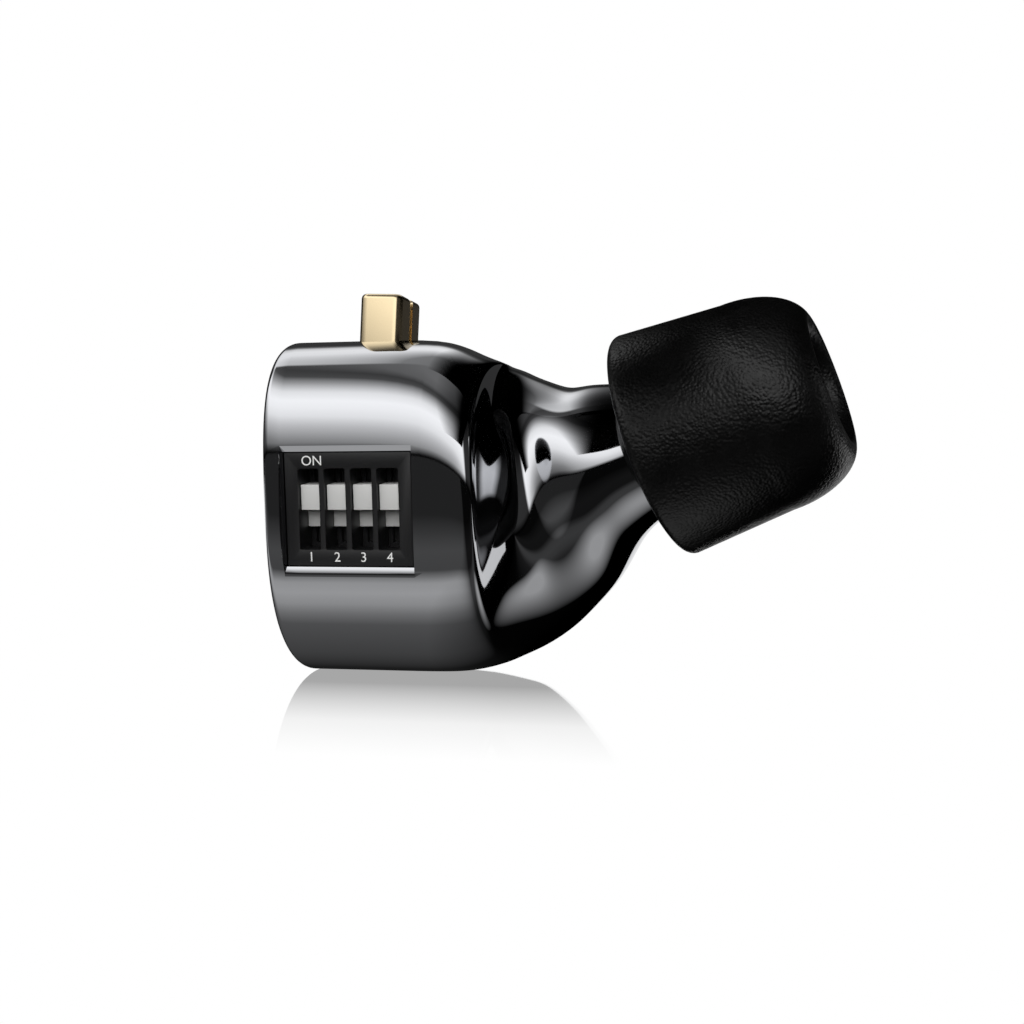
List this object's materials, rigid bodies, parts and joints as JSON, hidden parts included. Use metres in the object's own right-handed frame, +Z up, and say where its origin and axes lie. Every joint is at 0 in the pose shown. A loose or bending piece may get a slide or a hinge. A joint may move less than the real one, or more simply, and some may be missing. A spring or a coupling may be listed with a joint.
{
  "type": "in ear monitor",
  "caption": "Single in-ear monitor with a polished cast metal shell, tuning slide switches, a two-pin cable socket and a removable foam ear tip on an angled nozzle.",
  "frame": {"origin": "centre of the faceplate's flat outer face", "axes": "+X from the faceplate towards the ear, -Y the side with the tuning switch, +Z up towards the cable socket"},
  "size_m": [0.0273, 0.0198, 0.0186],
  "materials": {
    "black_chrome": "dark mirror-polished plating",
    "gold_plate": "polished gold plating",
    "contact_brass": "plain brass",
    "steel": "satin stainless steel",
    "magnet_nickel": "nickel-plated magnet",
    "copper": "enamelled copper winding",
    "film": "thin coated polymer film",
    "foam": "slow-rebound foam with a satin skin",
    "black_elastomer": "satin elastomer",
    "switch_black": "fine matt moulding",
    "switch_white": "light grey moulding",
    "board_green": "green solder mask",
    "ceramic": "fired ceramic chip",
    "insulation_red": "thin enamel insulation",
    "insulation_blue": "thin enamel insulation"
  },
  "bodies": {
    "earpiece": {"shell": "black_chrome", "faceplate": "black_chrome", "nozzle": "black_chrome", "driver_bracket": "black_elastomer", "tweeter_sound_tube": "black_elastomer", "midrange_sound_tube": "black_elastomer", "vent_mesh": "steel", "nozzle_mesh": "steel", "tweeter_armature": "steel", "midrange_armature": "steel", "driver_basket": "steel", "driver_yoke": "steel", "driver_pole_plate": "steel", "driver_grille": "steel", "acoustic_damper": "foam", "switch_cover": "switch_black", "switch_base": "switch_black", "socket_insert": "switch_black", "switch_lead_1": "contact_brass", "switch_lead_2": "contact_brass", "switch_lead_3": "contact_brass", "switch_lead_4": "contact_brass", "switch_lead_5": "contact_brass", "switch_lead_6": "contact_brass", "switch_lead_7": "contact_brass", "switch_lead_8": "contact_brass", "circuit_board": "board_green", "resistor_1": "ceramic", "resistor_2": "ceramic", "resistor_3": "ceramic", "resistor_4": "ceramic", "capacitor_1": "ceramic", "capacitor_2": "ceramic", "driver_magnet": "magnet_nickel", "diaphragm_surround": "film", "socket_sleeve": "gold_plate", "front_pin_contact": "gold_plate", "rear_pin_contact": "gold_plate", "socket_wire_red": "insulation_red", "driver_wire_red": "insulation_red", "midrange_wire": "insulation_red", "socket_wire_blue": "insulation_blue", "driver_wire_blue": "insulation_blue", "tweeter_wire": "insulation_blue"},
    "slider_1": {"switch_slider_1": "switch_white", "switch_wiper_1": "contact_brass"},
    "slider_2": {"switch_slider_2": "switch_white", "switch_wiper_2": "contact_brass"},
    "slider_3": {"switch_slider_3": "switch_white", "switch_wiper_3": "contact_brass"},
    "slider_4": {"switch_slider_4": "switch_white", "switch_wiper_4": "contact_brass"},
    "ear_tip": {"ear_tip_core": "black_elastomer", "ear_tip_foam": "foam"},
    "diaphragm_and_coil": {"diaphragm": "film", "voice_coil": "copper"}
  },
  "joints": [
    {"name": "slider_1_travel", "type": "slide", "parent": "earpiece", "child": "slider_1", "axis": [0, -0.108, 0.9942], "range_m": [-0.0009, 0]},
    {"name": "slider_2_travel", "type": "slide", "parent": "earpiece", "child": "slider_2", "axis": [0, -0.108, 0.9942], "range_m": [-0.0009, 0]},
    {"name": "slider_3_travel", "type": "slide", "parent": "earpiece", "child": "slider_3", "axis": [0, -0.108, 0.9942], "range_m": [-0.0009, 0]},
    {"name": "slider_4_travel", "type": "slide", "parent": "earpiece", "child": "slider_4", "axis": [0, -0.108, 0.9942], "range_m": [-0.0009, 0]},
    {"name": "ear_tip_pull", "type": "slide", "parent": "earpiece", "child": "ear_tip", "axis": [0.935, -0.1481, 0.3223], "range_m": [0, 0.008]},
    {"name": "diaphragm_excursion", "type": "slide", "parent": "earpiece", "child": "diaphragm_and_coil", "axis": [1, 0, 0], "range_m": [-0.0002, 0.0002], "stiffness_N_per_m": 300}
  ]
}
